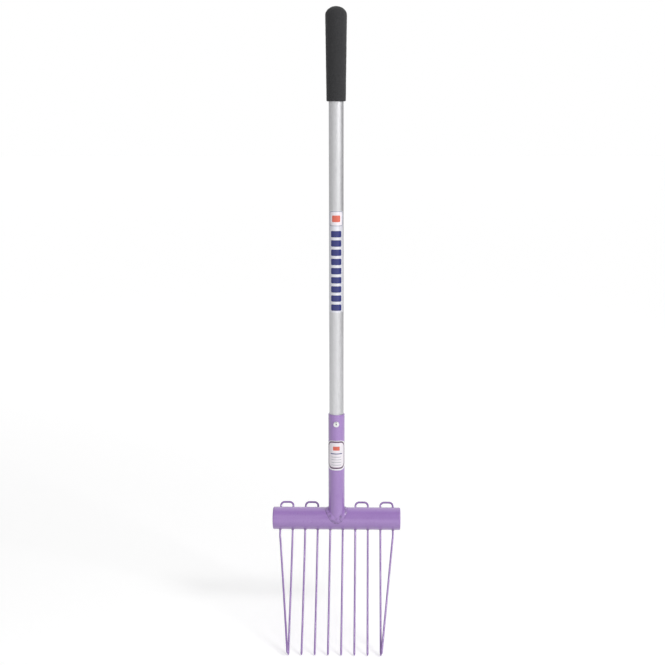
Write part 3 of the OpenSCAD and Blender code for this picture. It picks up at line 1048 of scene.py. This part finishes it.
def floorFinish():
    # glows white to the camera and grey to the gloss; all other rays see it lit by lamps and air
    material, tree, shader, place = newMaterial("paleFloor")
    grain = cloud(tree, place, floor["grainPerMetre"], 2)
    feed(tree, shader, Base_Color=blendColour(tree, grain, *floor["tones"]), Roughness=floor["roughness"])
    away = feed(tree, addNode(tree, "ShaderNodeVectorMath", operation="LENGTH"), in0=place)
    level = spread(tree, away.outputs["Value"], floor["nearGlow"], floor["farGlow"], *floor["glowRange"])
    path = addNode(tree, "ShaderNodeLightPath").outputs
    shown = math2(tree, "MULTIPLY", path["Is Camera Ray"], level)
    mirrored = math2(tree, "MULTIPLY", path["Is Glossy Ray"], floor["mirroredGlow"])
    glow = math2(tree, "ADD", shown, mirrored)
    feed(tree, shader, Emission_Color=(1, 1, 1, 1), Emission_Strength=glow)
    return material


def roomFinish(name, tone):
    material, tree, shader, _ = newMaterial(name)
    feed(tree, shader, Base_Color=(0, 0, 0, 1), Specular_IOR_Level=0, Roughness=1.0)
    feed(tree, shader, Emission_Color=(1, 1, 1, 1), Emission_Strength=tone)
    return material


def makeRoom():
    far = floor["size"] / 2
    plane("floor", flat(-far, -far, far, far, floorZ), floorFinish())
    near, back, top = room["half"], room["back"], floorZ + room["height"]
    bandTop = floorZ + room["bandHeight"]
    before = -room["inFront"] * near
    panels = {
        "band": wall(-near, -near, near, -near, floorZ, bandTop),
        "front": wall(-near, -near, near, -near, bandTop, top),
        "strip": wall(room["stripLeft"], before, room["stripRight"], before, floorZ, top),
        "screen": wall(-near, before, room["screenRight"], before, floorZ + room["screenHeight"], top),
        "left": wall(-near, -near, -near, back, floorZ, top),
        "right": wall(near, -near, near, back, floorZ, top),
        "top": flat(-near, -near, near, room["topBack"], top),
    }
    for side, corners in panels.items():
        name = "room" + side.capitalize()
        panel = plane(name, corners, roomFinish(name, room["tones"][side]))
        panel.visible_camera = False
        panel.visible_diffuse = False
        panel.visible_shadow = False


def makeAir():
    # white where it is seen itself, by camera, gloss or glass, and a soft fill for the rest
    world = bpy.data.worlds.new("whiteAir")
    bpy.context.scene.world = world
    world.use_nodes = True
    tree = world.node_tree
    path = addNode(tree, "ShaderNodeLightPath").outputs
    gloss = math2(tree, "MAXIMUM", path["Is Glossy Ray"], path["Is Transmission Ray"])
    seen = math2(tree, "MAXIMUM", path["Is Camera Ray"], gloss)
    lit = math2(tree, "MAXIMUM", seen, airFill)
    feed(tree, tree.nodes["Background"], Color=(1, 1, 1, 1), Strength=lit)


def makeLamps():
    middle = Vector((0, 0, (cadBox[0].z + cadBox[1].z) / 2))
    for name, lamp in lamps.items():
        turn, rise = math.radians(lamp["turnDeg"]), math.radians(lamp["riseDeg"])
        level = math.cos(rise)
        towards = Vector((math.sin(turn) * level, -math.cos(turn) * level, math.sin(rise)))
        light = bpy.data.lights.new(name, "AREA")
        light.size = lamp["size"]
        light.energy = lamp["power"]
        holder = bpy.data.objects.new(name, light)
        holder.location = middle + towards * lamp["distance"]
        holder.rotation_mode = "QUATERNION"
        holder.rotation_quaternion = (-towards).to_track_quat("-Z", "Y")
        holder.visible_glossy = lamp["mirrored"]
        holder.visible_camera = False
        bpy.context.scene.collection.objects.link(holder)


makeRoom()
makeAir()
makeLamps()
bpy.context.scene.view_settings.view_transform = "Standard"
print("stage: floor, room, air and", len(lamps), "lamps")

# Camera: the photograph's viewing angle, for a picture of 665 by 665

shot = {
    "imageWidth": 665,
    "focalPixels": 1138,
    "distance": 2.452,
    "elevationDeg": 10.81,
    "yawDeg": 1.49,
    "rollDeg": 0.06,
    "aimAboveBar": 0.4225,
    "aimPixelRight": 3.9,
    "aimPixelDown": 0.25,
    "sensor": 36.0,
}


def makeCamera():
    yaw, rise = math.radians(shot["yawDeg"]), math.radians(shot["elevationDeg"])
    look = Vector((-math.sin(yaw) * math.cos(rise), math.cos(yaw) * math.cos(rise), -math.sin(rise)))
    aim = Vector((0, 0, barCentre.z + shot["aimAboveBar"]))
    data = bpy.data.cameras.new("camera")
    data.sensor_width = shot["sensor"]
    data.lens = shot["sensor"] * shot["focalPixels"] / shot["imageWidth"]
    data.shift_x = -shot["aimPixelRight"] / shot["imageWidth"]
    data.shift_y = shot["aimPixelDown"] / shot["imageWidth"]
    camera = bpy.data.objects.new("camera", data)
    camera.location = aim - look * shot["distance"]
    camera.rotation_mode = "QUATERNION"
    roll = Matrix.Rotation(math.radians(shot["rollDeg"]), 4, look).to_quaternion()
    camera.rotation_quaternion = roll @ look.to_track_quat("-Z", "Y")
    bpy.context.scene.collection.objects.link(camera)
    bpy.context.scene.camera = camera


makeCamera()
print("camera: lens", round(bpy.context.scene.camera.data.lens, 2))
